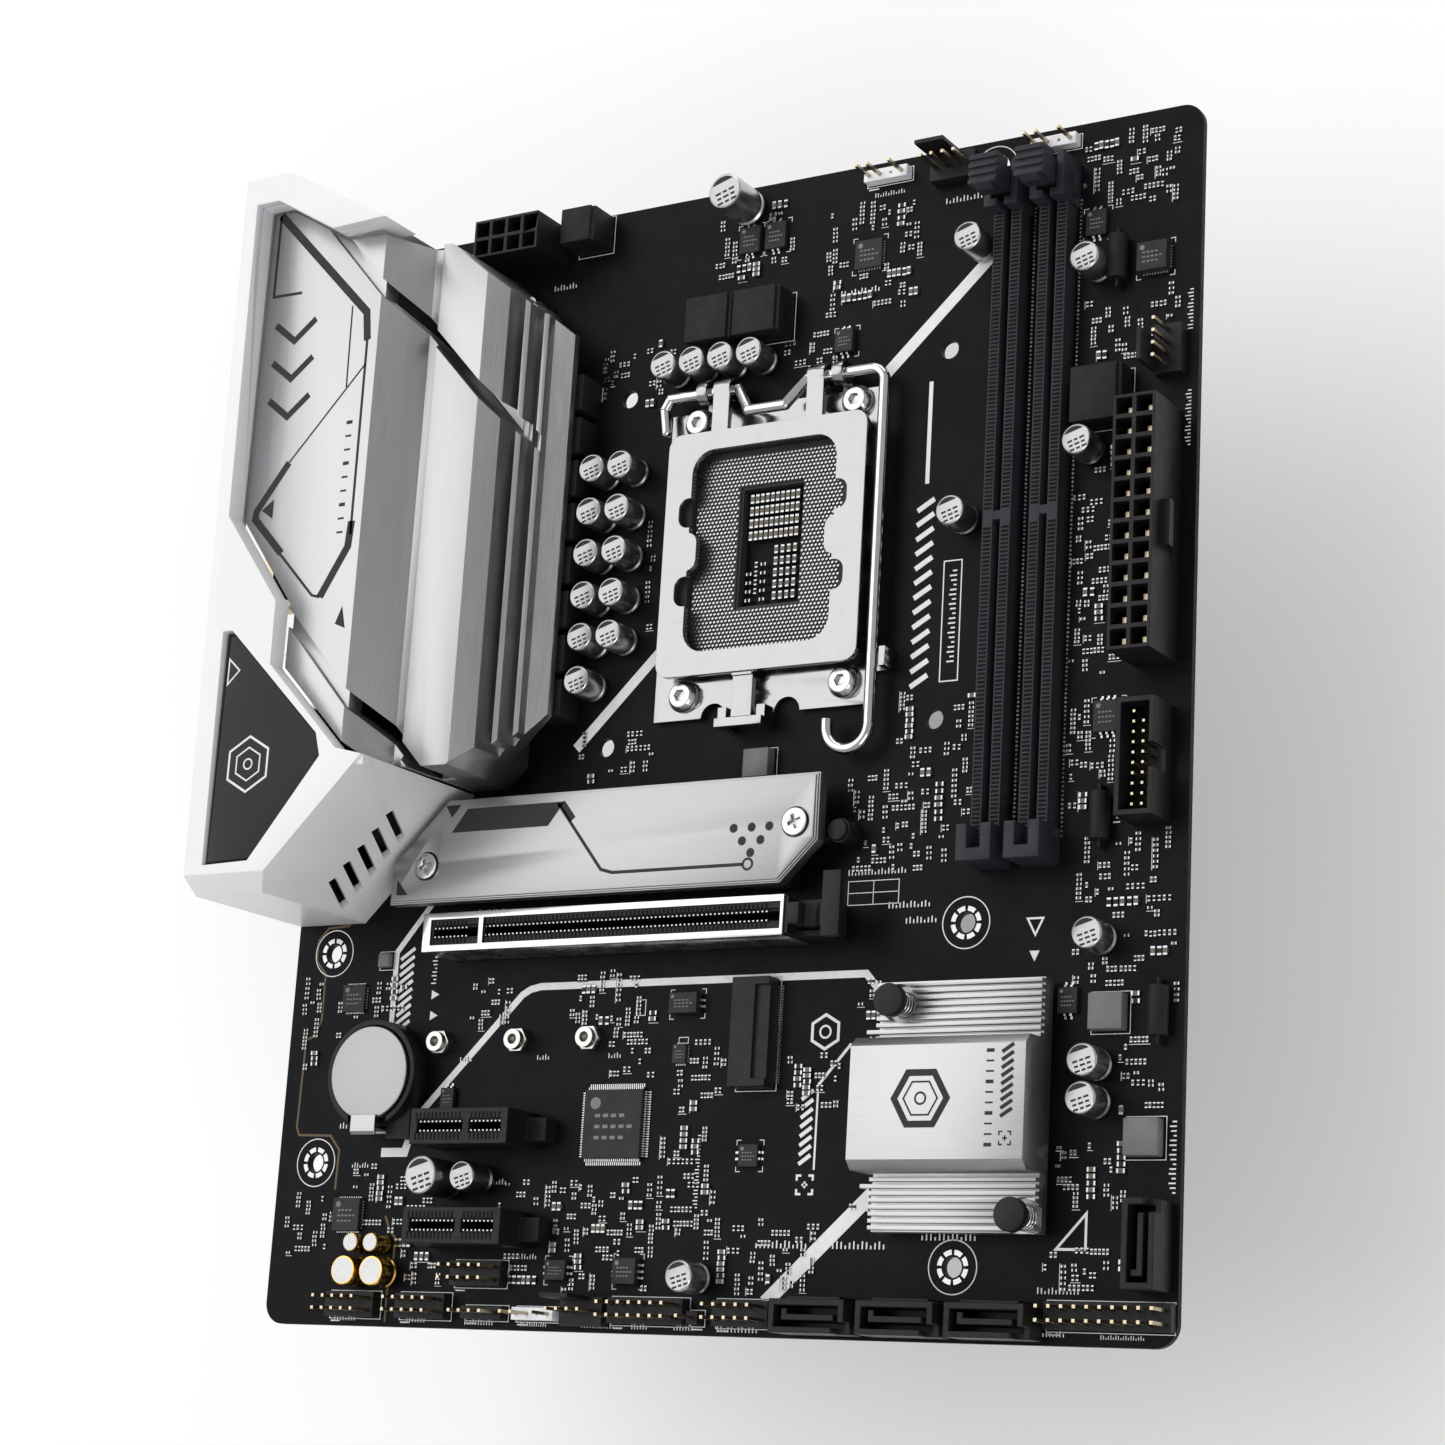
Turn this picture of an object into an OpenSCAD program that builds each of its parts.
// Small desktop motherboard, an assembly of separate pieces.
// Inside on_board() a place is measured from the board's rear lower corner, on its component side:
// X runs from the rear ports to the front edge, Y from the expansion slots to the processor power socket.
// The row's own origin is the middle case hole of the rear column, at the underside of the board.

/* [Board] */
// Depth of the board, rear edge to front edge
board_d = 211; // [211:1:300]
// Length of the board, expansion end to processor power end
board_l = 243.84; // [243.84:0.5:305]
// Thickness of the board
board_t = 1.6; // [1.2:0.1:2.4]
// Corner radius of the board
corner_r = 4.5; // [1:0.5:6]
// Diameter of a case screw hole
case_hole_d = 3.96; // [3.5:0.02:4.4]
// Distance from the rear edge to the rear column of case holes
hole_rear_x = 10.16; // [8:0.01:12]
// Distance from the lower edge to the middle case hole of the rear column
hole_mid_y = 80.01; // [78:0.01:82]

/* [Socket] */
// Distance of the socket's centre from the rear edge
sock_x = 117.2; // [116:0.1:119]
// Distance of the socket's centre from the lower edge
sock_y = 160.4; // [159:0.1:162]
// Hole to hole distance of the cooler, both ways
cooler_pitch = 78; // [75:0.5:80]
// Diameter of a cooler hole
cooler_hole_d = 4; // [3.5:0.1:4.5]
// Width of the socket's plastic body
body_w = 43; // [40:0.5:45]
// Length of the socket's plastic body
body_l = 51; // [48:0.5:53]
// Height of the body's rim above the board
body_h = 4.2; // [3.5:0.1:4.6]
// Thickness of the load plate
plate_t = 1.5; // [1:0.1:2]
// Height of the load plate's top above the board
plate_top = 6.6; // [6:0.1:7.4]
// Width of the window in the load plate
window_w = 34.7; // [32:0.1:36]
// Length of the window in the load plate
window_l = 44; // [42:0.1:46]
// Thickness of the fixed frame
frame_t = 1.4; // [1:0.1:1.8]
// Diameter of the lever's wire
wire_d = 2.4; // [2:0.1:2.8]
// Height of the lever's hinge line above the board
lever_z = 4.4; // [4.2:0.1:4.8]
// Head diameter of a socket screw
sock_screw_d = 6.8; // [6:0.1:7.4]
// Thickness of the backplate
back_t = 2; // [1.5:0.1:2.5]

/* [Memory slots] */
// Distance from the front edge to the centre of the outer slot
dimm_front = 30.1; // [29.5:0.1:31]
// Distance between the two slots
dimm_pitch = 10.2; // [9.6:0.1:12]
// Width of a slot's body
dimm_w = 6.2; // [5.8:0.1:6.6]
// Height of the rails above the board
rail_h = 4.8; // [4.2:0.1:6]
// Width of the card gap
dimm_gap = 1.6; // [1.4:0.1:1.8]
// Lower end of the slots, from the lower edge
dimm_y0 = 90.2; // [88:0.1:92]
// Length of a slot, between the ends of its towers
dimm_l = 144.8; // [140:0.1:146]
// Height of the end towers
tower_h = 9.5; // [8:0.1:10.5]
// Height of a latch's ridged head
latch_top = 17; // [15:0.5:20]

/* [Expansion slots] */
// Height of an expansion slot
slot_h = 11.25; // [10:0.05:12]
// Width of a bare expansion slot
slot_w = 7.4; // [7:0.1:8]
// Distance between expansion slots on the standard pitch
slot_pitch = 20.32; // [20.32:0.01:21]
// Centre line of the long slot, from the lower edge
long_y = 81.05; // [80.5:0.05:82]
// Rear end of every expansion slot, from the rear edge
slot_x0 = 43.6; // [43:0.1:44]
// Length of the long slot
long_l = 88; // [86:0.5:90]
// Length of a short slot
short_l = 24.6; // [24:0.1:26]
// Wall of the steel shell over the long slot
shell_t = 0.4; // [0.3:0.05:0.6]
// Width of the card gap
card_gap = 1.9; // [1.7:0.1:2.1]

/* [M.2 cover] */
// Length of the cover plate
cover_l = 104.8; // [100:0.2:108]
// Width of the cover plate
cover_w = 22.1; // [21:0.1:23]
// Thickness of the cover plate
cover_t = 3.6; // [3:0.1:4.5]
// Height of the cover plate's top above the board
cover_top = 9.5; // [9:0.1:11]
// Distance of its rear end from the rear edge
cover_x0 = 31.2; // [31:0.1:33]
// Distance of its lower edge from the lower edge of the board
cover_y0 = 88.1; // [87.6:0.1:89]
// Length of its cut corners, each way
cover_cut = 13.6; // [12:0.1:14]

/* [Chipset heatsink] */
// Length of the heatsink, across its fins
chip_sink_l = 47.8; // [45:0.2:49]
// Width of the heatsink, along its fins
chip_sink_w = 35; // [33:0.2:37]
// Height of the finned ends above the board
chip_fin_top = 7; // [6:0.1:8]
// Height of the raised middle above the board
chip_mid_top = 13; // [10:0.1:15]
// Height of the heatsink's underside above the board
chip_sink_z = 2.1; // [1.8:0.1:2.6]

/* [Rear cover] */
// Height of the cover at its lower end
cover_low = 40; // [38:0.5:44]
// Height of the cover at its upper end
cover_high = 42; // [40:0.5:46]
// How far the cover's top overhangs the upper edge of the board
cover_over = 3.6; // [0:0.1:4]
// Wall of the cover
cover_wall = 2; // [1.5:0.1:2.5]
// Lower end of the cover, from the lower edge of the board
cover_low_y = 86.4; // [86:0.1:87]

/* [Power heatsink] */
// Height of the flat face above the board
face_z = 36; // [34:0.5:38]
// Thickness of the flat face
face_t = 2.4; // [2:0.1:3]
// Width of the two slanted slots
groove_w = 2.6; // [1.5:0.1:3.5]
// Height of the heatsink's foot above the board, on its pads
foot_z = 2.6; // [2.2:0.1:3]

/* [Capacitors] */
// Diameter of a small capacitor
cap_d = 6.3; // [5.8:0.1:6.4]
// Height of a small capacitor
cap_h = 8; // [7:0.1:9]
// Diameter of a large capacitor
big_cap_d = 8; // [7.4:0.1:8.2]
// Height of a large capacitor
big_cap_h = 11; // [9:0.1:12]

/* [Connectors] */
// Pin spacing of the power sockets
power_pitch = 4.2; // [4.2:0.05:4.4]
// Height of the power sockets
power_h = 12.8; // [11:0.1:14]
// Pin spacing of the headers
pin_pitch = 2.54; // [2.5:0.01:2.54]
// Thickness of a header's pin
pin_w = 0.64; // [0.5:0.01:0.7]
// Height of a header's pins above the board
pin_h = 8.4; // [7:0.1:9]
// Height of a header's base
pin_base_h = 2.5; // [2:0.1:3]
// Height of the data sockets
sata_h = 8.5; // [7.5:0.1:9.5]

/* [Cell] */
// Diameter of the coin cell
cell_d = 20; // [19.6:0.1:20.2]
// Thickness of the coin cell
cell_t = 3.2; // [3:0.1:3.4]
// Height of the cell's underside above the board
cell_z = 3; // [2.5:0.1:3.5]

/* [Hidden] */
$fn = 48;
gap = 0.3;       // gap between pieces that only pass each other
run_fit = 0.06;  // radial clearance of a pin that turns in its bore
eps = 0.01;

front = board_d;
top = board_l;
socket_half = cooler_pitch / 2;
wire_r = wire_d / 2;

case_holes = [
    [hole_rear_x, hole_mid_y], [hole_rear_x, 34.29], [165.1, hole_mid_y],
    [165.1, 14.03], [165.1, top - 6.35], [33.02, top - 6.35]
];

// socket
frame_x0 = sock_x - 26.4;
frame_x1 = sock_x + 24.4;
frame_y0 = sock_y - 35;
frame_y1 = sock_y + 33.6;
lever_y = sock_y + 35.6;
sock_screws = [
    [sock_x - 18.9, sock_y + 29.8], [sock_x + 19.2, sock_y + 29.8],
    [sock_x - 18.9, sock_y - 30.2], [sock_x + 19.2, sock_y - 30.2]
];
arm_x = sock_x + 26.6;          // the lever's long arm
hinge_half = 16.4;                // half the distance between the bearing hooks
crank_half = 7;
crank_r = 6;

// memory slots
dimm_xs = [front - dimm_front - dimm_pitch, front - dimm_front];
key_y = 160.8;
latch_y = dimm_y0 + dimm_l - 4.6;
latch_axis_z = 3.6;
latch_w = dimm_w - 2.4;
rail_y0 = dimm_y0 + 7.2;
rail_y1 = dimm_y0 + dimm_l - 9.6;

// M.2
cover_x1 = cover_x0 + cover_l;
cover_y1 = cover_y0 + cover_w;
cover_under = cover_top - cover_t;
cover_posts = [[cover_x0 + 9.4, cover_y0 + 7.9], [cover_x1 - 4.9, cover_y0 + 12]];
m2_posts_y = 59.4;
m2_post_xs = [41.9, 62, 80];

// chipset
chip_x0 = 150.2;
chip_y0 = 20;
chip_x1 = chip_x0 + chip_sink_w;
chip_y1 = chip_y0 + chip_sink_l;
chip_mid_y0 = chip_y0 + 11;
chip_mid_y1 = chip_y1 - 11.6;
push_places = [[chip_x0 + 4.6, chip_y1 - 4.3], [chip_x1 - 3.2, chip_y0 + 2.9]];
push_hole_d = 3.2;

// rear cover and power heatsink share these
face_x0 = 3.4;
face_x1 = 36;
face_y0 = 115;
face_y1 = top - 2.6;
foot_x0 = 43;
foot_x1 = 69.5;
sink_y0 = 113.4;
sink_y1 = top - 13.2;
sink_screws = [[56, 120.6], [56, top - 22]];
power_x = 53;

// capacitors
cap_rows = [144.1, 153.3, 162.7, 172, 181.7];
cap_cols = [74.6, 81.8];
top_caps = [91.2, 98.3, 105.4, 112.5];
top_caps_y = 202.9;
lone_caps = [
    [74.6, 134.6], [163.2, 220.2], [front - 21.6, 211.5], [front - 22.1, 173.3], [161.75, 162],
    [front - 16.75, 75.5], [front - 16.95, 51.7], [front - 17.05, 44.6], [109.1, 11], [54.9, 30.6]
];
big_caps = [[106.2, top - 4.9], [46.6, 30.4]];

// connectors
power_wall = 1.15;
atx_x = front - 12;
atx_y = 128.3;
eps_x = 42;
eps_y = top - 10.6;
sata_xs = [130.3, 149.2, 167.9];
sata_w = 16.4;
sata_d = 6.4;
header_y = 4.4;

// each header: [x, y, pins along, rows, turned]
black_headers = [
    [19.2, header_y, 5, 2, 0], [37.6, header_y, 5, 2, 0], [54.6, 3.3, 4, 1, 0],
    [90.6, header_y, 7, 2, 0], [109.4, 3.3, 1, 1, 0], [115.2, header_y, 5, 2, 0],
    [front - 24.4, header_y + 1, 10, 2, 0], [51.2, 11.2, 5, 2, 0]
];
white_places = [[67.4, 3.3, 4, 1, 0], [136.6, top - 3.6, 4, 1, 0], [front - 35.7, top - 3.6, 4, 1, 0]];
fan_places = [[83.4, 4, 0], [156.4, top - 4.9, 0], [front - 5.4, atx_y + 12 * power_pitch + 12.7, 90]];

// cell
cell_x = 27.2;
cell_y = 52.6;

module on_board() {
    translate([-hole_rear_x, -hole_mid_y, board_t]) children();
}

module block(x0, y0, z0, x1, y1, z1) {
    translate([x0, y0, z0]) cube([x1 - x0, y1 - y0, z1 - z0]);
}

module post(p, z0, z1, d) {
    translate([p[0], p[1], z0]) cylinder(d = d, h = z1 - z0);
}

// a straight piece of wire
module rod(a, b, r) {
    v = b - a;
    length = norm(v);
    translate(a)
        rotate([0, acos(v[2] / length), atan2(v[1], v[0])])
            cylinder(r = r, h = length);
}

// a profile drawn in X and Z, run along Y
module run_y(y0, y1) {
    translate([0, y1, 0]) rotate([90, 0, 0]) linear_extrude(y1 - y0) children();
}

// a profile drawn in Y and Z, run along X
module run_x(x0, x1) {
    translate([x0, 0, 0]) rotate([90, 0, 90]) linear_extrude(x1 - x0) children();
}

// ---------- board ----------

module board_outline() {
    r = corner_r;
    translate([r, 0]) square([front - 2 * r, top]);
    translate([0, r]) square([front, top - 2 * r]);
    for (x = [r, front - r], y = [r, top - r])
        translate([x, y]) circle(r = r);
}

module circuit_board() {
    color("#15161a") on_board() translate([0, 0, -board_t]) difference() {
        linear_extrude(board_t) board_outline();
        for (p = case_holes)
            post(p, -1, board_t + 1, case_hole_d);
        for (i = [-1, 1], j = [-1, 1])
            post([sock_x + i * socket_half, sock_y + j * socket_half], -1, board_t + 1, cooler_hole_d);
        for (p = sock_screws)
            post(p, -1, board_t + 1, 4.4);
        for (p = push_places)
            post(p, -1, board_t + 1, push_hole_d);
        for (p = sink_screws)
            post(p, -1, board_t + 1, 3.4);
    }
}

// ---------- rear cover ----------

cover_cut_line = cover_y0 - cover_x0 + cover_cut - 5.3 + 3.2;   // Y minus X of the slanted wall
vent_x = cover_low_y - cover_cut_line + 1.7;
vent_pitch = 3.45;
vent_z = 9.3;
vent_lean = 28;
vent_l = 11.6;
vent_w = 1.9;

// plan of the cover, drawn in by a wall thickness
module cover_plan(inset) {
    k = inset * 0.42;
    line = cover_cut_line + inset * 1.414;
    polygon([
        [inset, cover_low_y + inset], [cover_low_y + inset - line, cover_low_y + inset],
        [45.4 - inset, line + 45.4 - inset], [45.4 - inset, 118],
        [45.4 - inset, top - 14], [40 - k, top - 11.5 - inset], [12.4 - k, top + cover_over - inset],
        [inset, top + cover_over - inset]
    ]);
}

// side view of the cover: the lower front edge is bevelled, the upper end leans out
module cover_side(inset) {
    run_x(0, 60) polygon([
        [cover_low_y - 1, inset == 0 ? 0 : -1], [cover_low_y - 1, cover_low - 4.6 - inset],
        [cover_low_y, cover_low - 4.6 - inset], [cover_low_y + 3.6, cover_low - inset],
        [top + cover_over, cover_high - inset], [top + cover_over + 0.1, cover_high - inset - 1],
        [top - inset, inset == 0 ? 0 : -1]
    ]);
}

// plan of the flat face: what the cover leaves open
module face_plan() {
    polygon([
        [face_x0, 169], [18.6, 148.6], [18.6, 134.6], [face_x1 + 2, face_y0], [45.6, sink_y0 - gap],
        [face_x1 + 24, sink_y0 - gap], [face_x1 + 24, sink_y1 + 2.4], [25.6, sink_y1 + 1.4], [9.6, face_y1], [face_x0, face_y1]
    ]);
}

module badge_plan(grow) {
    offset(delta = grow)
        polygon([[4.8, 143], [7.4, 143], [32.6, 118.6], [34, 113.6], [17, 92.4], [4.8, 92]]);
}

module vents() {
    for (i = [0:4])
        translate([vent_x + vent_pitch * i, cover_cut_line + vent_x + vent_pitch * i, vent_z])
            rotate([0, 0, 45])
                rotate([0, vent_lean, 0])
                    translate([-vent_w / 2, -4, 0]) cube([vent_w, 8, vent_l]);
}

module cover_shape(inset) {
    intersection() {
        translate([0, 0, -1]) linear_extrude(cover_high + 2) cover_plan(inset);
        cover_side(inset);
    }
}

// rim that hangs down around the opening, to just above the heatsink's flat face
module face_rim() {
    w = cover_wall;
    translate([0, 0, face_z + gap]) linear_extrude(cover_low - face_z - gap - 0.4) polygon([
        [w / 2, 166], [18.6 - w, 147.9], [18.6 - w, 133.7], [face_x1 + 0.4, face_y0 - w - 0.6],
        [45, sink_y0 - gap - w], [45, sink_y0 + 4], [45, sink_y1], [26.4, sink_y1 + 1.4 + w],
        [10.4, face_y1 + cover_over], [w / 2, face_y1 + cover_over]
    ]);
}

module rear_cover() {
    color("#eef0f3") on_board() difference() {
        union() {
            difference() {
                cover_shape(0);
                cover_shape(cover_wall);
            }
            face_rim();
        }
        // open front, where the heatsink stands
        translate([0, 0, -1]) linear_extrude(cover_high + 3) face_plan();
        translate([0, 0, -1]) linear_extrude(face_z - face_t - 2)
            polygon([[24, 124], [60, 112.4], [60, top - 8], [24, top - 8]]);
        // opening for the rear ports
        block(-1, cover_low_y + cover_wall, -1, cover_wall + 1, top - 5, 33.6);
        // foot of the cover is clear of the case hole and the processor power socket
        post([33.02, top - 6.35], -1, 14, 11);
        block(36, top - 16, -1, 70, top + 6, power_h + 4);
        translate([0, 0, cover_low - 2.2]) linear_extrude(6) badge_plan(0);
        vents();
        post(case_holes[0], -1, 6, 10);
    }
}

module cover_inset() {
    color("#17181b") on_board()
        translate([0, 0, cover_low - 2.2]) linear_extrude(1.6) badge_plan(-gap);
}

// ---------- power heatsink ----------

// the extrusion's section: flat face, steep wall, valley, bright facet, three fins and a sloping foot
module sink_section() {
    polygon([
        [face_x0 + gap, face_z], [face_x1, face_z], [41.2, 24.6], [43.6, 24.4], [45, 27], [56.6, 26],
        [60.2, 22.2], [60.2, 13.4], [61.7, 13.4], [61.7, 18.4], [62.7, 17.8], [62.7, 11.6], [64.1, 11.6],
        [64.1, 14.4], [65.1, 13.9], [65.1, 11.6], [foot_x1, 10], [foot_x1, 8.2], [60.2, 8.2],
        [60.2, foot_z], [46, foot_z], [46, 15], [41.6, 19], [39.4, 22.6], [34.4, face_z - face_t],
        [face_x0 + gap, face_z - face_t]
    ]);
}

// plan of the heatsink
module sink_plan() {
    polygon([
        [face_x0 + gap, 169.3], [18.6 + gap, 148.8], [18.6 + gap, 134.9], [38.2, face_y0 + gap],
        [46, sink_y0], [56, sink_y0], [foot_x1, 127], [foot_x1, 212], [47, sink_y1], [26, sink_y1 + 0.8],
        [9.4, face_y1 - gap], [face_x0 + gap, face_y1 - gap]
    ]);
}

module groove(x, y) {
    translate([x, y, 13.6]) rotate([0, 0, -48]) translate([-8, -groove_w, 0]) cube([90, groove_w, 40]);
}

module power_heatsink() {
    color("#c9ccd1") on_board() difference() {
        intersection() {
            run_y(100, top) sink_section();
            linear_extrude(60) sink_plan();
        }
        // the slots leave a skin under the flat face, so the extrusion stays one piece
        intersection() {
            union() {
                groove(26.2, sink_y1 + 1);
                groove(18.6, 148.2);
            }
            union() {
                block(face_x0 - 1, 100, face_z - face_t + 1, 80, top, 60);
                block(face_x1, 100, 13.6, 80, top, 60);
            }
        }
        for (p = sink_screws)
            post(p, 0, 9, 3);
    }
}

module power_heatsink_screws() {
    color("#b9bcc2") on_board() for (p = sink_screws) {
        post(p, -board_t, 9, 3);
        post(p, -board_t - 1.6, -board_t, 6);
    }
}

transistor_rows = [for (i = [0:7]) 131 + 10.2 * i];

module power_transistors() {
    color("#232428") on_board() for (y = transistor_rows)
        for (x = [power_x - 5, power_x + 1])
            block(x, y - 3, 0, x + 5, y + 3, 1.1);
}

module power_pads() {
    color("#8fa3b8") on_board() block(46.4, 126, 1.1, 59.8, 207, foot_z);
}

module power_chokes() {
    color("#1c1d20") on_board() for (i = [0:7])
        difference() {
            block(62, 131.3 + 9.8 * i - 4.1, 0, 70.6, 131.3 + 9.8 * i + 4.1, 7.2);
            block(61, 131.3 + 9.8 * i - 5, 6.4, 62.8, 131.3 + 9.8 * i + 5, 9);
        }
}

module choke(x0, y0, w, l, h) {
    difference() {
        block(x0, y0, 0, x0 + w, y0 + l, h);
        block(x0 + w - 0.8, y0 - 1, h - 0.8, x0 + w + 1, y0 + l + 1, h + 1);
    }
}

module upper_chokes() {
    color("#1c1d20") on_board() {
        for (x = [95.6, 107.4])
            choke(x, 207.3, 11.2, 10.2, 7);
        choke(62.2, top - 8.8, 8.6, 8.2, 8.5);
    }
}

module memory_choke() {
    color("#1c1d20") on_board() choke(front - 24.6, 177.5, 10.8, 11.6, 6.2);
}

// ---------- processor socket ----------

module socket_backplate() {
    color("#3c3e42") on_board() translate([0, 0, -board_t - back_t]) difference() {
        union() {
            block(sock_x - 24, sock_y - 34, 0, sock_x + 24, sock_y + 34, back_t);
            for (i = [-1, 1], j = [-1, 1])
                translate([sock_x + i * 22, sock_y + j * 30.5, 0]) cylinder(d = 10, h = back_t);
        }
        block(sock_x - 14, sock_y - 17, -1, sock_x + 14, sock_y + 17, back_t + 1);
        for (p = sock_screws)
            post(p, -1, back_t + 1, 4);
    }
}

module socket_body() {
    rim = 3;
    color("#26272a") on_board() difference() {
        block(sock_x - body_w / 2, sock_y - body_l / 2, 0, sock_x + body_w / 2, sock_y + body_l / 2, body_h);
        block(sock_x - body_w / 2 + rim, sock_y - body_l / 2 + rim, body_h - 1.8,
            sock_x + body_w / 2 - rim, sock_y + body_l / 2 - rim, body_h + 1);
        block(sock_x - 6.9, sock_y - 12, -1, sock_x + 7.5, sock_y + 13.6, body_h + 1);
    }
}

module socket_contacts() {
    rim = 3 + gap;
    color("#b8a878") on_board() difference() {
        block(sock_x - body_w / 2 + rim, sock_y - body_l / 2 + rim, body_h - 1.8,
            sock_x + body_w / 2 - rim, sock_y + body_l / 2 - rim, body_h - 1.4);
        block(sock_x - 7.4, sock_y - 12.5, -1, sock_x + 8, sock_y + 14.1, body_h + 1);
    }
}

module socket_frame() {
    hook_r = wire_r + 1.3;
    foot = 0.2;
    color("#c4c6c9") on_board() difference() {
        union() {
            block(frame_x0, frame_y0, foot, frame_x1, frame_y1 - 1, foot + frame_t);
            // bearing hooks of the lever
            for (i = [-1, 1]) {
                block(sock_x + i * hinge_half - 1.2, frame_y1 - 4, foot,
                    sock_x + i * hinge_half + 1.2, lever_y + hook_r, foot + frame_t);
                block(sock_x + i * hinge_half - 1.2, lever_y - 1.7, foot,
                    sock_x + i * hinge_half + 1.2, lever_y + hook_r, lever_z);
                translate([sock_x + i * hinge_half - 1.2, lever_y, lever_z])
                    rotate([0, 90, 0]) cylinder(r = hook_r, h = 2.4);
            }
            // bridge in front of the load plate's tongue
            for (i = [-1, 1])
                block(sock_x - 3 + i * 4.6 - 1, frame_y0 - 3.4, foot, sock_x - 3 + i * 4.6 + 1, frame_y0 + 1, 5);
            block(sock_x - 8.6, frame_y0 - 3.4, 4.9, sock_x + 2.6, frame_y0 - 1.6, 6.3);
            // catch that holds the lever down
            block(frame_x1 - 1, sock_y - 28.4, foot, arm_x + wire_r + 2.3, sock_y - 24.4, foot + frame_t);
            block(arm_x + wire_r + 0.9, sock_y - 28.4, foot, arm_x + wire_r + 2.3, sock_y - 24.4, lever_z + 1);
        }
        block(sock_x - body_w / 2 - gap, sock_y - body_l / 2 - gap, -1,
            sock_x + body_w / 2 + gap, sock_y + body_l / 2 + gap, 3);
        for (i = [-1, 1])
            translate([sock_x + i * hinge_half - 3, lever_y, lever_z])
                rotate([0, 90, 0]) cylinder(r = wire_r + run_fit, h = 6);
        for (p = sock_screws)
            post(p, -1, 3, 4.4);
        // cut-outs in the front flange
        for (i = [-1, 1])
            translate([sock_x - 3 + i * 8.8, frame_y0, -1]) cylinder(d = 6, h = 4);
    }
}

module socket_screws() {
    color("#d9dbde") on_board() for (p = sock_screws) difference() {
        union() {
            post(p, -board_t - back_t, 1.6, 4);
            translate([p[0], p[1], 1.6]) cylinder(d = sock_screw_d, h = 1.2);
            translate([p[0], p[1], 2.8]) cylinder(d1 = sock_screw_d, d2 = sock_screw_d - 1.8, h = 1.2);
        }
        translate([p[0], p[1], 2.6]) cylinder(d = 2.6, h = 3, $fn = 6);
    }
}

// outline of a rectangle with rounded corners, about its middle
function corner(x, y, r, from) = [for (a = [0:15:90]) [x + r * cos(from + a), y + r * sin(from + a)]];
function soft_rect(w, h, r) = concat(
    corner(w / 2 - r, h / 2 - r, r, 0), corner(r - w / 2, h / 2 - r, r, 90),
    corner(r - w / 2, r - h / 2, r, 180), corner(w / 2 - r, r - h / 2, r, 270)
);

module plate_window() {
    polygon(soft_rect(window_w, window_l, 5));
    // side lobes, and the tabs between them
    for (i = [-1, 1], j = [-1, 1])
        translate([i * (window_w / 2 + 0.4), j * 8.6]) polygon(soft_rect(4.8, 6.4, 2.2));
}

module plate_tabs() {
    for (i = [-1, 1])
        translate([i * (window_w / 2 + 0.6), 0]) polygon(soft_rect(5.2, 8.4, 2.4));
}

module load_plate() {
    x0 = sock_x - 23.6;
    x1 = sock_x + 24.2;
    y0 = sock_y - 27;
    y1 = sock_y + 26.2;
    z0 = plate_top - plate_t;
    knuckle_r = wire_r + 1.3;
    color("#d3d5d8") on_board() difference() {
        union() {
            translate([0, 0, z0]) linear_extrude(plate_t) difference() {
                translate([(x0 + x1) / 2, (y0 + y1) / 2]) polygon(soft_rect(x1 - x0, y1 - y0, 3));
                translate([sock_x, sock_y]) difference() {
                    plate_window();
                    plate_tabs();
                }
            }
            // turned-down side flanges
            for (x = [x0, x1 - plate_t])
                block(x, y0 + 5, 2.6, x + plate_t, y1 - 5, z0 + eps);
            // tongue that stops at the frame's bridge
            block(sock_x - 5.4, frame_y0 - 1.2, z0 - 1.4, sock_x - 0.6, y0 + 1, z0);
            block(sock_x - 5.4, y0 - 0.6, z0 - 1.4, sock_x - 0.6, y0 + 1, z0 + 0.6);
            // arms that reach back to the hinge line
            for (i = [-1, 1]) {
                block(sock_x + i * 11.4 - 2, y1 - 1, z0, sock_x + i * 11.4 + 2, lever_y, plate_top);
                translate([sock_x + i * 11.4 - 2, lever_y, lever_z])
                    rotate([0, 90, 0]) cylinder(r = knuckle_r, h = 4);
            }
        }
        for (i = [-1, 1])
            translate([sock_x + i * 11.4 - 3, lever_y, lever_z])
                rotate([0, 90, 0]) cylinder(r = wire_r + run_fit, h = 6);
    }
}

// wire along X between two points of the hinge line
module crossbar(x0, x1) {
    translate([x0, lever_y, lever_z]) rotate([0, 90, 0]) cylinder(r = wire_r, h = x1 - x0);
}

// a bend of the wire, flat on the board's plane
module bend(x, y, radius, from, sweep) {
    translate([x, y, lever_z]) rotate([0, 0, from])
        rotate_extrude(angle = sweep) translate([radius, 0]) circle(r = wire_r, $fn = 24);
}

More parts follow.
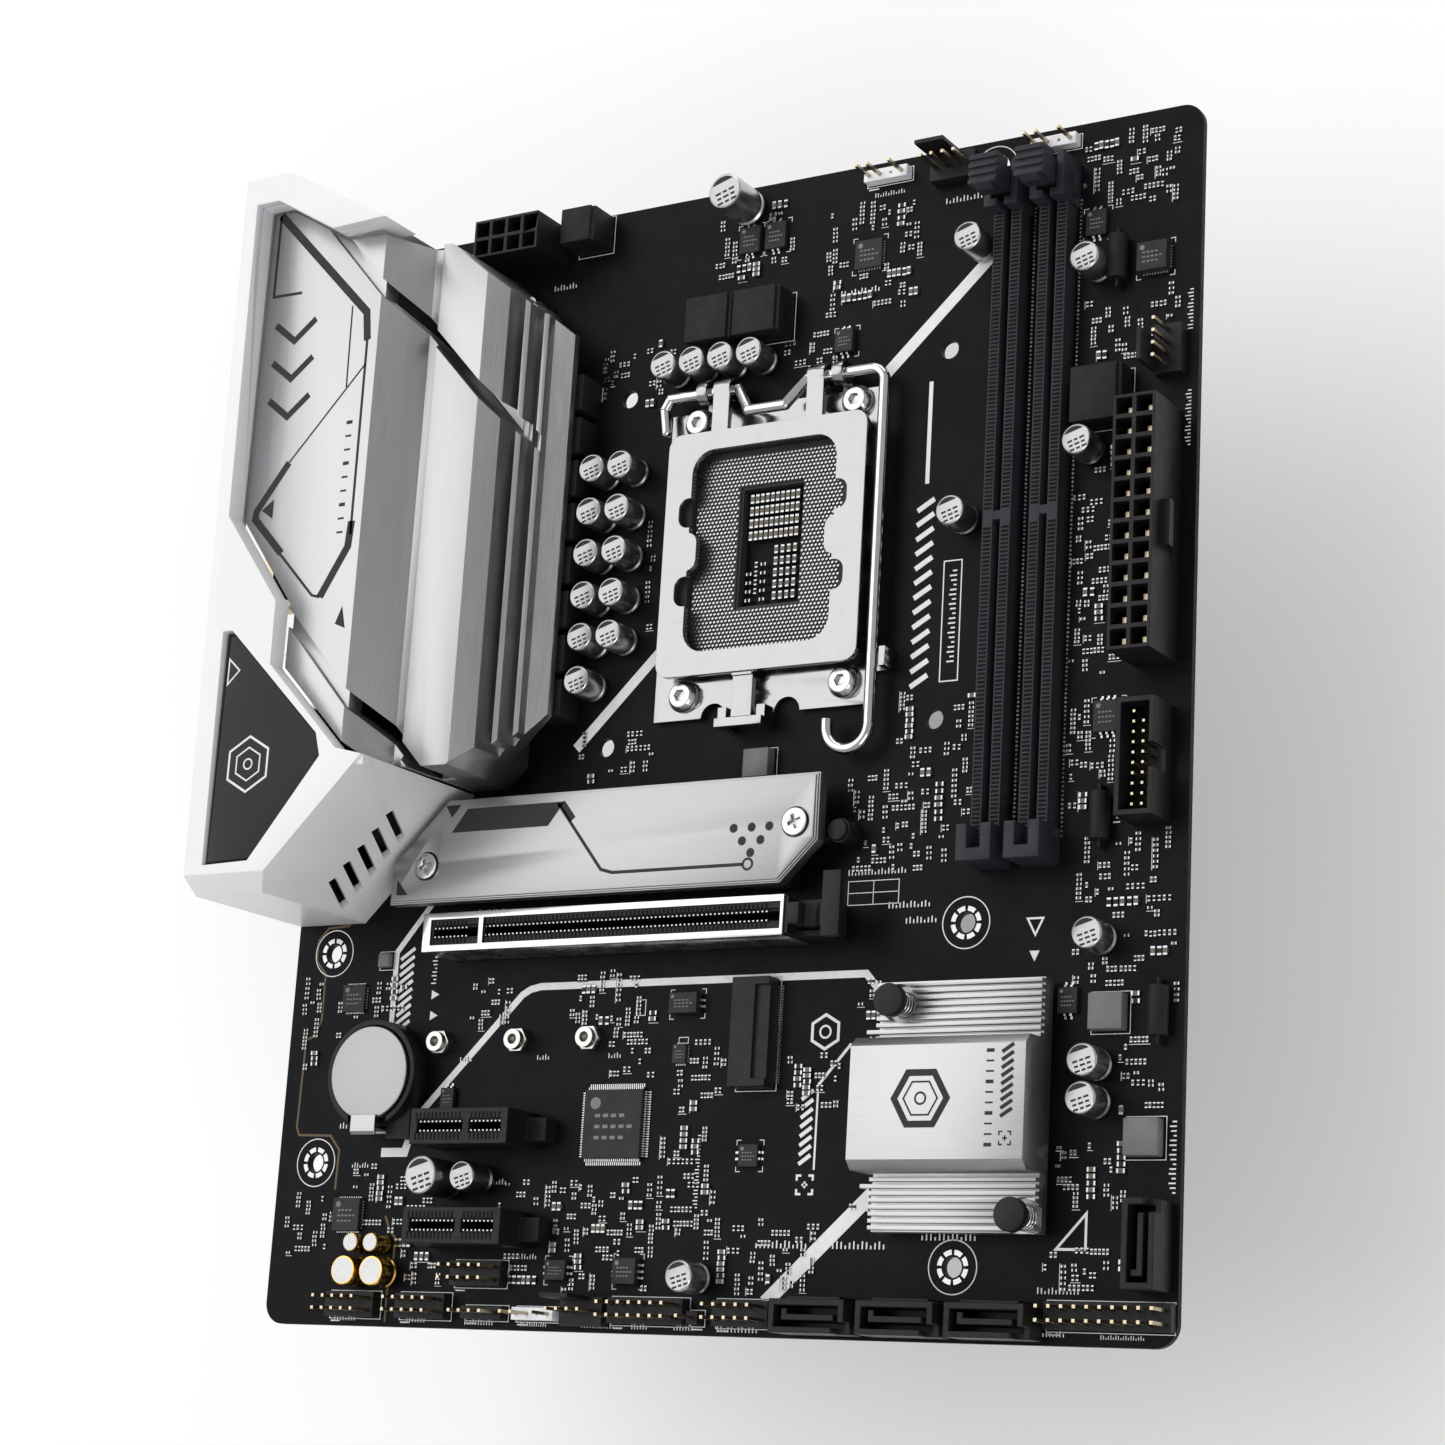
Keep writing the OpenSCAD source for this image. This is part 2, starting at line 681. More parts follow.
corner_bend = 3;
hook_bend = 4.8;
hook_sweep = 180;
module load_lever() {
    y = lever_y;
    z = lever_z;
    foot_y = sock_y - 40;
    left = sock_x - 25.4;
    crank = [
        [sock_x - crank_half - 1.4, y, z], [sock_x - crank_half + 2.6, y - crank_r, z + 2.2],
        [sock_x + crank_half - 2.6, y - crank_r, z + 2.2], [sock_x + crank_half + 1.4, y, z]
    ];
    color("#dddfe2") on_board() {
        crossbar(left, crank[0][0]);
        for (i = [0:2])
            rod(crank[i], crank[i + 1], wire_r);
        for (p = crank)
            translate(p) sphere(r = wire_r + 0.02);
        crossbar(crank[3][0], arm_x - corner_bend);
        bend(arm_x - corner_bend, y - corner_bend, corner_bend, 0, 90);
        translate([arm_x, y - corner_bend, z]) rotate([90, 0, 0])
            cylinder(r = wire_r, h = y - corner_bend - foot_y);
        // finger hook at the free end
        bend(arm_x - hook_bend, foot_y, hook_bend, -hook_sweep, hook_sweep);
        translate([arm_x - hook_bend, foot_y, z]) rotate([0, 0, -hook_sweep])
            translate([hook_bend, 0, 0]) rotate([90, 0, 0]) cylinder(r = wire_r, h = 1.6);
        // bent finger at the other end of the crossbar
        rod([left, y, z], [left - 1.4, y - 2.4, z], wire_r);
        rod([left - 1.4, y - 2.4, z], [left - 0.6, y - 7.4, z], wire_r);
        for (p = [[left, y, z], [left - 1.4, y - 2.4, z], [left - 0.6, y - 7.4, z]])
            translate(p) sphere(r = wire_r + 0.02);
    }
}

// ---------- memory slots ----------

module memory_slot(x) {
    w = dimm_w / 2;
    y1 = dimm_y0 + dimm_l;
    cheek = 1.0;
    difference() {
        union() {
            block(x - w, rail_y0 - 1, 0, x + w, rail_y1 + 1, rail_h);
            // fixed lower tower
            block(x - w - 0.6, dimm_y0, 0, x + w + 0.6, rail_y0, tower_h);
            // upper tower, two cheeks around the latch
            block(x - w - 0.6, rail_y1, 0, x + w + 0.6, y1, tower_h - 1);
        }
        // card gap, with the key left standing
        block(x - dimm_gap / 2, dimm_y0 + 2.4, 1.2, x + dimm_gap / 2, key_y - 0.9, 40);
        block(x - dimm_gap / 2, key_y + 0.9, 1.2, x + dimm_gap / 2, y1 - 7.6, 40);
        // wide card guides in the towers
        block(x - 1.5, dimm_y0 + 2.4, rail_h, x + 1.5, rail_y0 + 1, 40);
        // room for the latch between the cheeks
        block(x - latch_w / 2 - gap, latch_y - 3.4, 0.8, x + latch_w / 2 + gap, y1 + 1, 40);
        translate([x - w - 2, latch_y, latch_axis_z]) rotate([0, 90, 0])
            cylinder(d = 2 + 2 * run_fit, h = dimm_w + 4);
    }
}

module memory_slots() {
    color("#3a3d48") on_board() for (x = dimm_xs)
        memory_slot(x);
}

module memory_latch(x) {
    w = latch_w / 2;
    y = latch_y;
    top_y = dimm_y0 + dimm_l - 1.6;
    difference() {
        union() {
            run_x(x - w, x + w) polygon([
                [y - 1.6, 1.4], [y + 1.9, 1.4], [y + 2.4, 4], [y + 2.6, tower_h - 0.8],
                [top_y, tower_h + 2], [top_y, latch_top], [y - 3.6, latch_top], [y - 4.6, latch_top - 1.6],
                [y - 4.6, latch_top - 4.2], [y - 2.6, tower_h + 0.8], [y - 1.8, 6]
            ]);
            // wide head with ridges
            run_x(x - w - 1.2, x + w + 1.2) polygon([
                [y - 3.6, latch_top - 4.4], [top_y, latch_top - 5.4], [top_y, latch_top], [y - 3.6, latch_top]
            ]);
            translate([x - dimm_w / 2 - 0.3, y, latch_axis_z]) rotate([0, 90, 0])
                cylinder(d = 2, h = dimm_w + 0.6);
        }
        for (i = [0:3])
            block(x - w - 2, y - 2.6 + 1.7 * i, latch_top - 0.6, x + w + 2, y - 1.8 + 1.7 * i, latch_top + 1);
    }
}

module memory_latch_inner() {
    color("#3f424e") on_board() memory_latch(dimm_xs[0]);
}

module memory_latch_outer() {
    color("#3f424e") on_board() memory_latch(dimm_xs[1]);
}

// ---------- expansion slots ----------

// a slot's body with its card gap, key and contact pockets
module slot_body(x0, y, w, length) {
    key_x = x0 + 14.1;
    difference() {
        block(x0, y - w / 2, 0, x0 + length, y + w / 2, slot_h);
        block(x0 + 1.7, y - card_gap / 2, 2.4, key_x - 0.8, y + card_gap / 2, 30);
        block(key_x + 0.8, y - card_gap / 2, 2.4, x0 + length - 1.6, y + card_gap / 2, 30);
        // lead-in
        block(x0 + 1.7, y - card_gap / 2 - 0.5, slot_h - 0.7, key_x - 0.8, y + card_gap / 2 + 0.5, 30);
        block(key_x + 0.8, y - card_gap / 2 - 0.5, slot_h - 0.7, x0 + length - 1.6, y + card_gap / 2 + 0.5, 30);
    }
}

long_body_w = slot_w - 0.1;

module long_slot() {
    color("#1b1c1f") on_board() {
        slot_body(slot_x0, long_y, long_body_w, long_l);
        difference() {
            union() {
                for (i = [-1, 1])
                    block(slot_x0 + long_l - 0.4, long_y + i * 3.05 - 0.6, 0, slot_x0 + long_l + 7,
                        long_y + i * 3.05 + 0.6, 7);
                block(slot_x0 + long_l - 0.4, long_y - 3, 0, slot_x0 + long_l + 7, long_y + 3, 0.8);
            }
            translate([slot_x0 + long_l + 4, long_y - 5, 3.4]) rotate([-90, 0, 0])
                cylinder(d = 2 + 2 * run_fit, h = 10);
        }
    }
}

module long_slot_shell() {
    w = long_body_w / 2;
    g = 0.05;
    color("#d6d8db") on_board() difference() {
        block(slot_x0 - 0.4 - shell_t, long_y - w - g - shell_t, 0.6,
            slot_x0 + long_l - 0.8, long_y + w + g + shell_t, slot_h + g + shell_t);
        block(slot_x0 - 0.4, long_y - w - g, -1, slot_x0 + long_l + 1, long_y + w + g, slot_h + g);
        // window over the card gap
        block(slot_x0 + 1.2, long_y - 2.7, slot_h - 1, slot_x0 + long_l - 1.6, long_y + 2.7, slot_h + 2);
    }
    // bar over the key
    color("#d6d8db") on_board()
        block(slot_x0 + 13.5, long_y - 2.8, slot_h + g, slot_x0 + 14.7, long_y + 2.8, slot_h + g + shell_t);
}

module long_slot_latch() {
    x = slot_x0 + long_l + 4;
    half = 2.1;
    color("#2a2b2f") on_board() {
        run_y(long_y - half, long_y + half) polygon([
            [x - 1.6, 1.3], [x + 1.6, 1.3], [x + 2.2, 5], [x + 7.6, 9.4], [x + 7.6, 11.4], [x + 3.4, 11.4],
            [x + 1.4, 9.6], [x - 0.6, 10.4], [x - 0.6, 13], [x - 3.2, 13], [x - 2.6, 9], [x - 1.7, 6]
        ]);
        block(x + 3.6, long_y - 4.6, 9.6, x + 7.6, long_y + 8.4, 11.4);
        translate([x, long_y - 3.6, 3.4]) rotate([-90, 0, 0]) cylinder(d = 2, h = 7.2);
    }
}

module short_slots() {
    color("#202124") on_board() for (i = [2, 3]) {
        y = long_y - i * slot_pitch;
        slot_body(slot_x0 - 0.3, y, slot_w, short_l);
        block(slot_x0 - 0.3 + short_l, y - 2.4, 0, slot_x0 + short_l + 4.4, y + 2.4, 4.2);
    }
}

// ---------- M.2 ----------

module cover_outline(inset) {
    i = inset;
    c = cover_cut;
    polygon([
        [cover_x0 + i, cover_y0 + i], [cover_x1 - 8.3 - 0.4 * i, cover_y0 + i],
        [cover_x1 - i, cover_y0 + 8.3 + 0.4 * i], [cover_x1 - i, cover_y1 - i],
        [cover_x0 + c + 0.4 * i, cover_y1 - i], [cover_x0 + i, cover_y1 - c - 0.4 * i]
    ]);
}

module m2_cover() {
    bevel = 0.8;
    color("#dcdee1") on_board() difference() {
        union() {
            translate([0, 0, cover_under]) linear_extrude(cover_t - bevel) cover_outline(0);
            translate([0, 0, cover_top - bevel]) linear_extrude(bevel / 2) cover_outline(bevel * 0.35);
            translate([0, 0, cover_top - bevel / 2]) linear_extrude(bevel / 2) cover_outline(bevel * 0.8);
        }
        for (p = cover_posts) {
            post(p, 0, 20, 3.2);
            post(p, cover_top - 1.6, 20, 6.2);
        }
        // shallow relief over the drive
        block(cover_x0 + 18, cover_y0 + 1.6, 0, cover_x1 - 14, cover_y1 - 1.2, cover_under + 0.6);
    }
}

module m2_cover_screws() {
    color("#cfd1d5") on_board() for (p = cover_posts) difference() {
        union() {
            post(p, cover_under - 2.2, cover_top - 1.6, 2.5);
            post(p, cover_top - 1.6, cover_top + 0.5, 5.6);
        }
        for (a = [0, 90])
            translate([p[0], p[1], cover_top + 0.2]) rotate([0, 0, a + 20])
                cube([3, 0.7, 1.2], center = true);
    }
}

module m2_pad() {
    color("#7f8ea3") on_board()
        block(cover_x0 + 19, cover_y0 + 2, cover_under - 0.9, cover_x1 - 15, cover_y1 - 2, cover_under + 0.6);
}

// an M.2 socket, contacts facing -X
module m2_socket(x, y0) {
    difference() {
        block(x, y0, 0, x + 8.6, y0 + 22, 4.2);
        block(x - 1, y0 + 1, 1.6, x + 5, y0 + 21, 2.6);
        block(x + 5.4, y0 + 1.6, 3.4, x + 10, y0 + 20.4, 6);
    }
}

module m2_socket_covered() {
    color("#2b2c2f") on_board() m2_socket(cover_x1 - 17, cover_y0);
}

module m2_socket_open() {
    color("#2b2c2f") on_board() m2_socket(115.4, 48.4);
}

module hex_post(p, h, bore) {
    difference() {
        union() {
            translate([p[0], p[1], 0]) cylinder(d = 5.4, h = h - 1.4, $fn = 6);
            post(p, h - 1.4, h, 4.2);
        }
        post(p, 1, h + 1, bore);
    }
}

module m2_posts() {
    color("#c9b98a") on_board() {
        for (x = m2_post_xs)
            hex_post([x, m2_posts_y], 3.6, 2.2);
        for (p = cover_posts)
            hex_post(p, cover_under, 2.5);
    }
}

guide_place = [cover_x1 + 2.8, cover_y0 + 10.7];
module guide_post() {
    color("#1a1b1d") on_board() {
        post(guide_place, 0, 5.2, 5);
        post(guide_place, 5.2, 6.2, 4.2);
    }
}

// ---------- chipset ----------

module chipset() {
    x = (chip_x0 + chip_x1) / 2;
    y = (chip_y0 + chip_y1) / 2;
    color("#2f4b3a") on_board() {
        block(x - 12.5, y - 14, 0.2, x + 12.5, y + 14, 1.1);
        block(x - 5, y - 5, 1.1, x + 5, y + 5, 1.7);
    }
}

module chipset_pad() {
    x = (chip_x0 + chip_x1) / 2;
    y = (chip_y0 + chip_y1) / 2;
    color("#8fa3b8") on_board() block(x - 5, y - 5, 1.7, x + 5, y + 5, chip_sink_z);
}

fin_pitch = 1.3;
fin_t = 0.75;
fin_root = 5.5;
fin_inset = 0.3;
module fin_end(y0, y1) {
    block(chip_x0, y0, chip_sink_z, chip_x1, y1, fin_root);
    for (y = [y0 + fin_inset:fin_pitch:y1 - fin_t])
        block(chip_x0, y, fin_root - eps, chip_x1, y + fin_t, chip_fin_top);
}

// one fin at each end reaches further back than the others
module long_fin(y) {
    block(chip_x0 - 2, y, fin_root - eps, chip_x0 + 1, y + fin_t, chip_fin_top);
}

module chipset_heatsink() {
    b = 1.8;
    color("#cdd0d5") on_board() difference() {
        union() {
            fin_end(chip_y0, chip_mid_y0 + 0.2);
            fin_end(chip_mid_y1 - 0.2, chip_y1);
            run_x(chip_x0 - 2, chip_x1) polygon([
                [chip_mid_y0, chip_sink_z + 1.6], [chip_mid_y0, chip_mid_top - b],
                [chip_mid_y0 + b, chip_mid_top], [chip_mid_y1 - b, chip_mid_top],
                [chip_mid_y1, chip_mid_top - b], [chip_mid_y1, chip_sink_z + 1.6]
            ]);
            block(chip_x0, chip_mid_y0 - eps, chip_sink_z, chip_x1, chip_mid_y1 + eps, chip_sink_z + 1.6);
            long_fin(chip_y0 + fin_inset + 6 * fin_pitch);
            long_fin(chip_mid_y1 - 0.2 + fin_inset + fin_pitch);
        }
        for (p = push_places) {
            post(p, 0, 30, push_hole_d);
            post(p, 4, 30, 7.4);
        }
    }
}

spring_r = 2.2;
module push_pins() {
    color("#141518") on_board() for (p = push_places) {
        post(p, -board_t - 1.4, 9.2, push_hole_d - 2 * run_fit);
        post(p, 9.2, 11.4, 6.4);
        translate([p[0], p[1], -board_t - 1.4]) cylinder(d = 4.2, h = 1.4);
    }
}

module push_pin_springs() {
    turns = 4;
    color("#cfd2d6") on_board() for (p = push_places)
        for (i = [0:turns])
            translate([p[0], p[1], 4.3 + i * (4.6 / turns)])
                rotate_extrude() translate([spring_r, 0]) circle(r = 0.3, $fn = 16);
}

// ---------- coin cell ----------

module cell_holder() {
    wall_d = cell_d + 3;
    color("#17181a") on_board() difference() {
        union() {
            post([cell_x, cell_y], 0, cell_z, wall_d);
            difference() {
                post([cell_x, cell_y], cell_z - eps, cell_z + cell_t - 0.7, wall_d);
                post([cell_x, cell_y], 0, 20, cell_d + 2 * gap);
                block(cell_x - 5, cell_y - 20, cell_z, cell_x + 5, cell_y - 5, 20);
            }
            block(cell_x + 3.4, cell_y - 13.6, 0, cell_x + 9.6, cell_y - 6, cell_z);
        }
        post([cell_x, cell_y], 1.2, cell_z + eps, cell_d - 6);
    }
}

module coin_cell() {
    color("#d7d8da") on_board() {
        post([cell_x, cell_y], cell_z, cell_z + 0.5, cell_d - 2.4);
        post([cell_x, cell_y], cell_z + 0.5, cell_z + cell_t, cell_d);
    }
}

clip_y = cell_y - cell_d / 2 - 1.6;
module cell_clip() {
    top_z = cell_z + cell_t;
    color("#c8cacd") on_board() {
        // rolled foot, which the clip flexes about
        translate([cell_x - 3.2, clip_y - 0.1 - clip_roll / 2, clip_roll / 2])
            rotate([0, 90, 0]) cylinder(d = clip_roll, h = 6.4);
        clip_strip(top_z);
    }
}

clip_roll = 0.7;

module clip_strip(top_z) {
    run_x(cell_x - 3.2, cell_x + 3.2) polygon([
        [clip_y - 0.4, clip_roll / 2], [clip_y, clip_roll / 2], [clip_y, top_z + 0.2], [clip_y + 2.6, top_z + 0.2],
        [clip_y + 2.6, top_z + 0.6], [clip_y - 0.9, top_z + 0.6], [clip_y - 1.6, top_z + 0.1],
        [clip_y - 1.4, top_z - 0.2], [clip_y - 0.4, top_z + 0.1]
    ]);
}

// ---------- connectors ----------

cavity = 3.3;
module power_cavities(x, y, nx, ny) {
    for (i = [0:nx - 1], j = [0:ny - 1])
        block(x + power_wall * 0.55 + i * power_pitch, y + power_wall * 0.55 + j * power_pitch, 2.4,
            x + power_wall * 0.55 + i * power_pitch + cavity, y + power_wall * 0.55 + j * power_pitch + cavity, 40);
}

function socket_span(n) = n * power_pitch + power_wall * 0.55 * 2 - (power_pitch - cavity);

module power_pin_holes(x, y, nx, ny) {
    for (i = [0:nx - 1], j = [0:ny - 1])
        block(x + power_wall * 0.55 + i * power_pitch + cavity / 2 - 0.55,
            y + power_wall * 0.55 + j * power_pitch + cavity / 2 - 0.55, -1,
            x + power_wall * 0.55 + i * power_pitch + cavity / 2 + 0.55,
            y + power_wall * 0.55 + j * power_pitch + cavity / 2 + 0.55, 3);
}

module power_pin_set(x, y, nx, ny) {
    for (i = [0:nx - 1], j = [0:ny - 1])
        block(x + power_wall * 0.55 + i * power_pitch + cavity / 2 - 0.55,
            y + power_wall * 0.55 + j * power_pitch + cavity / 2 - 0.55, 0,
            x + power_wall * 0.55 + i * power_pitch + cavity / 2 + 0.55,
            y + power_wall * 0.55 + j * power_pitch + cavity / 2 + 0.55, 9.6);
}

module main_power_socket() {
    length = socket_span(12);
    width = socket_span(2);
    mid = atx_y + length / 2;
    color("#16171a") on_board() difference() {
        union() {
            block(atx_x, atx_y, 0, atx_x + width, atx_y + length, power_h);
            run_y(mid - 4.6, mid + 4.6) polygon([
                [atx_x + width - eps, 3], [atx_x + width + 1.8, 7], [atx_x + width + 1.8, 9],
                [atx_x + width - eps, 9]
            ]);
        }
        power_cavities(atx_x, atx_y, 2, 12);
        power_pin_holes(atx_x, atx_y, 2, 12);
    }
}

module processor_power_socket() {
    length = socket_span(4);
    width = socket_span(2);
    mid = eps_x + length / 2;
    color("#16171a") on_board() difference() {
        union() {
            block(eps_x, eps_y, 0, eps_x + length, eps_y + width, power_h);
            run_x(mid - 3, mid + 3) polygon([
                [eps_y + width - eps, 3], [eps_y + width + 1.6, 7], [eps_y + width + 1.6, 9],
                [eps_y + width - eps, 9]
            ]);
        }
        power_cavities(eps_x, eps_y, 4, 2);
        power_pin_holes(eps_x, eps_y, 4, 2);
    }
}

module power_pins() {
    color("#c9a95c") on_board() {
        power_pin_set(atx_x, atx_y, 2, 12);
        power_pin_set(eps_x, eps_y, 4, 2);
    }
}

// a data socket, its long side along X
module data_socket() {
    w = sata_w;
    d = sata_d;
    difference() {
        union() {
            cube([w, d, sata_h]);
            translate([2.2, d - eps, 0]) cube([w - 4.4, 0.7, sata_h - 2.4]);
        }
        translate([1.2, 1.1, 2]) cube([w - 2.4, d - 2.3, 20]);
        translate([w - 2.6, -1, sata_h - 3]) cube([6, 3.2, 6]);
    }
    // L-shaped tongue
    translate([2.4, 2.4, 2 - eps]) cube([w - 5, 1.2, sata_h - 2.8]);
    translate([2.4, 2.4, 2 - eps]) cube([1.2, 2.3, sata_h - 2.8]);
}

module data_sockets() {
    color("#1a1b1e") on_board() {
        for (x = sata_xs)
            translate([x, 0.6, 0]) data_socket();
        translate([front - 1.4, 9.9, 0]) rotate([0, 0, 90]) data_socket();
    }
}

usb_x = front - 7.6;
usb_y = 108.6;
module usb_header() {
    w = 3.9;
    l = 11.4;
    color("#131416") on_board() difference() {
        block(usb_x - w, usb_y - l, 0, usb_x + w, usb_y + l, 8.8);
        block(usb_x - w + 1, usb_y - l + 1, 1.6, usb_x + w - 1, usb_y + l - 1, 20);
        block(usb_x + w - 2, usb_y - 2.4, 3, usb_x + w + 2, usb_y + 2.4, 20);
        for (i = [0:9], j = [0, 1])
            if (!(i == 9 && j == 1))
                translate([usb_x - 1 + 2 * j - 0.25, usb_y - 9 + 2 * i - 0.25, -1]) cube([0.5, 0.5, 4]);
    }
}

module usb_header_pins() {
    for (i = [0:9], j = [0, 1])
        if (!(i == 9 && j == 1))
            translate([usb_x - 1 + 2 * j - 0.25, usb_y - 9 + 2 * i - 0.25, 0]) cube([0.5, 0.5, 7]);
}

// first pin at the origin; rows run towards +Y
module pin_places(n, rows) {
    for (i = [0:n - 1], j = [0:rows - 1])
        translate([i * pin_pitch, j * pin_pitch]) children();
}

module header_base(h) {
    half = pin_pitch / 2;
    translate([h[0], h[1] - (h[3] - 1) * half, 0]) linear_extrude(pin_base_h) difference() {
        translate([-half, -half]) square([h[2] * pin_pitch, h[3] * pin_pitch]);
        pin_places(h[2], h[3]) square(pin_w, center = true);
    }
}

module header_pin_set(h) {
    translate([h[0], h[1] - (h[3] - 1) * pin_pitch / 2, 0])
        pin_places(h[2], h[3])
            translate([-pin_w / 2, -pin_w / 2, 0]) cube([pin_w, pin_w, pin_h]);
}

module pin_headers() {
    color("#151619") on_board() for (h = black_headers)
        header_base(h);
}

module white_headers() {
    color("#eceef0") on_board() for (h = white_places)
        header_base(h);
}

fan_l = 10.2;
module fan_base(f) {
    translate([f[0], f[1], 0]) rotate([0, 0, f[2]]) {
        difference() {
            union() {
                translate([-fan_l / 2, -2.9, 0]) cube([fan_l, 5.8, 3]);
                translate([-fan_l / 2 + 0.4, 2.1, 0]) cube([6.6, 0.9, 11]);
            }
            translate([-1.5 * pin_pitch, 0, -1]) linear_extrude(6)
                pin_places(4, 1) square(pin_w, center = true);
        }
    }
}

module fan_headers() {
    color("#18191c") on_board() for (f = fan_places)
        fan_base(f);
}

module fan_pin_set(f) {
    translate([f[0], f[1], 0]) rotate([0, 0, f[2]])
        translate([-1.5 * pin_pitch, 0, 0])
            pin_places(4, 1)
                translate([-pin_w / 2, -pin_w / 2, 0]) cube([pin_w, pin_w, pin_h + 1.6]);
}

module header_pins() {
    color("#cfae62") on_board() {
        for (h = black_headers)
            header_pin_set(h);
        // the third place of a light header has no pin
        for (h = white_places)
            difference() {
                header_pin_set(h);
                block(h[0] + 1.5 * pin_pitch, h[1] - 1, -1, h[0] + 2.5 * pin_pitch, h[1] + 1, pin_h + 1);
            }
        for (f = fan_places)
            fan_pin_set(f);
        usb_header_pins();
    }
}

// ---------- rear ports ----------

port_out = 1.2;   // how far the ports stand out past the rear edge

// a port block with a rectangular mouth facing the rear
module port(y, w, z0, z1, depth, mouth_w, mouth_z0, mouth_z1) {
    difference() {
        block(-port_out, y - w / 2, z0, depth, y + w / 2, z1);
        block(-port_out - 1, y - mouth_w / 2, mouth_z0, depth - 2, y + mouth_w / 2, mouth_z1);
    }
}

module usb_mouth(y, z) {
    difference() {
        block(-port_out - 1, y - 6.6, z, 14, y + 6.6, z + 5.2);
        block(-port_out + 0.6, y - 5.6, z + 2.9, 15, y + 5.6, z + 4.7);
    }
}

usb_ys = [121.4, 137.4, 201];
module usb_ports() {
    color("#b9bcc1") on_board() for (y = usb_ys) difference() {
        block(-port_out, y - 7.3, 0, 16.6, y + 7.3, 15.8);
        for (z = [1.4, 9])
            usb_mouth(y, z);
    }
}

net_y = 121.4;
module network_port() {
    color("#b9bcc1") on_board() difference() {
        block(-port_out, net_y - 8, 16, 17, net_y + 8, 29.4);
        block(-port_out - 1, net_y - 6, 17.6, 13, net_y + 6, 25.4);
        block(-port_out - 1, net_y - 3, 25, 13, net_y + 3, 27.2);
    }
}

module display_ports() {
    color("#a9acb1") on_board() {
        port(219, 16.4, 0, 7.6, 14, 14.2, 1.2, 6.2);
        port(219, 18.4, 9.4, 17.2, 14, 15.4, 10.6, 15.6);
        block(4, 213, 7.6, 12, 225, 9.4);
    }
}

audio_y = 99.4;
jack_places = [5.4, 16.4, 27.4];

module audio_ports() {
    color("#26272b") on_board() for (z = jack_places)
        difference() {
            block(-port_out, audio_y - 6.4, z - 5.4, 14, audio_y + 6.4, z + 5.5);
            translate([-port_out - 1, audio_y, z]) rotate([0, 90, 0]) cylinder(d = 3.6, h = 12);
        }
}

module antenna_jacks() {
    color("#c8a24a") on_board() for (z = [8, 22]) {
        difference() {
            union() {
                translate([-8.4, 160, z]) rotate([0, 90, 0]) cylinder(d = 6.2, h = 10.4);
                translate([0.2, 160, z]) rotate([0, 90, 0]) cylinder(d = 9, h = 2, $fn = 6);
                block(2.1, 155.5, z - 4.5, 5, 164.5, z + 4.5);
            }
            translate([-9, 160, z]) rotate([0, 90, 0]) cylinder(d = 4.6, h = 6);
        }
    }
    color("#26272b") on_board() {
        block(2.1, 154, 0, 12, 166, 3.5);
        block(2.1, 157, 12.5, 5, 163, 17.5);
    }
}

// ---------- small parts ----------

// a round can with a crimped neck on its rubber foot
module can(p, d, h) {
    r = d / 2;
    translate([p[0], p[1], 0]) rotate_extrude() polygon([
        [0, 0], [r - 0.1, 0], [r - 0.1, 0.7], [r, 1], [r, 1.6], [r - 0.35, 2], [r, 2.4],
        [r, h - 0.4], [r - 0.4, h], [0, h]
    ]);
}

module small_capacitors() {
    color("#c3c5c9") on_board() {
        for (x = cap_cols, y = cap_rows)
            can([x, y], cap_d, cap_h);
        for (x = top_caps)
            can([x, top_caps_y], cap_d, cap_h);
        for (p = lone_caps)
            can(p, cap_d, cap_h);
    }
}

module large_capacitors() {
    color("#c3c5c9") on_board() for (p = big_caps)
        can(p, big_cap_d, big_cap_h);
}

module audio_capacitors() {
    color("#c79a35") on_board() {
        for (x = [24.4, 31.8])
            can([x, 11.1], cap_d, 5.8);
        for (x = [25.5, 30.7])
            can([x, 17], 4, 5.4);
    }
}

module control_chip() {
    color("#1d1e21") on_board() block(80, 34.7, 0.2, 94, 48.7, 1.6);
}

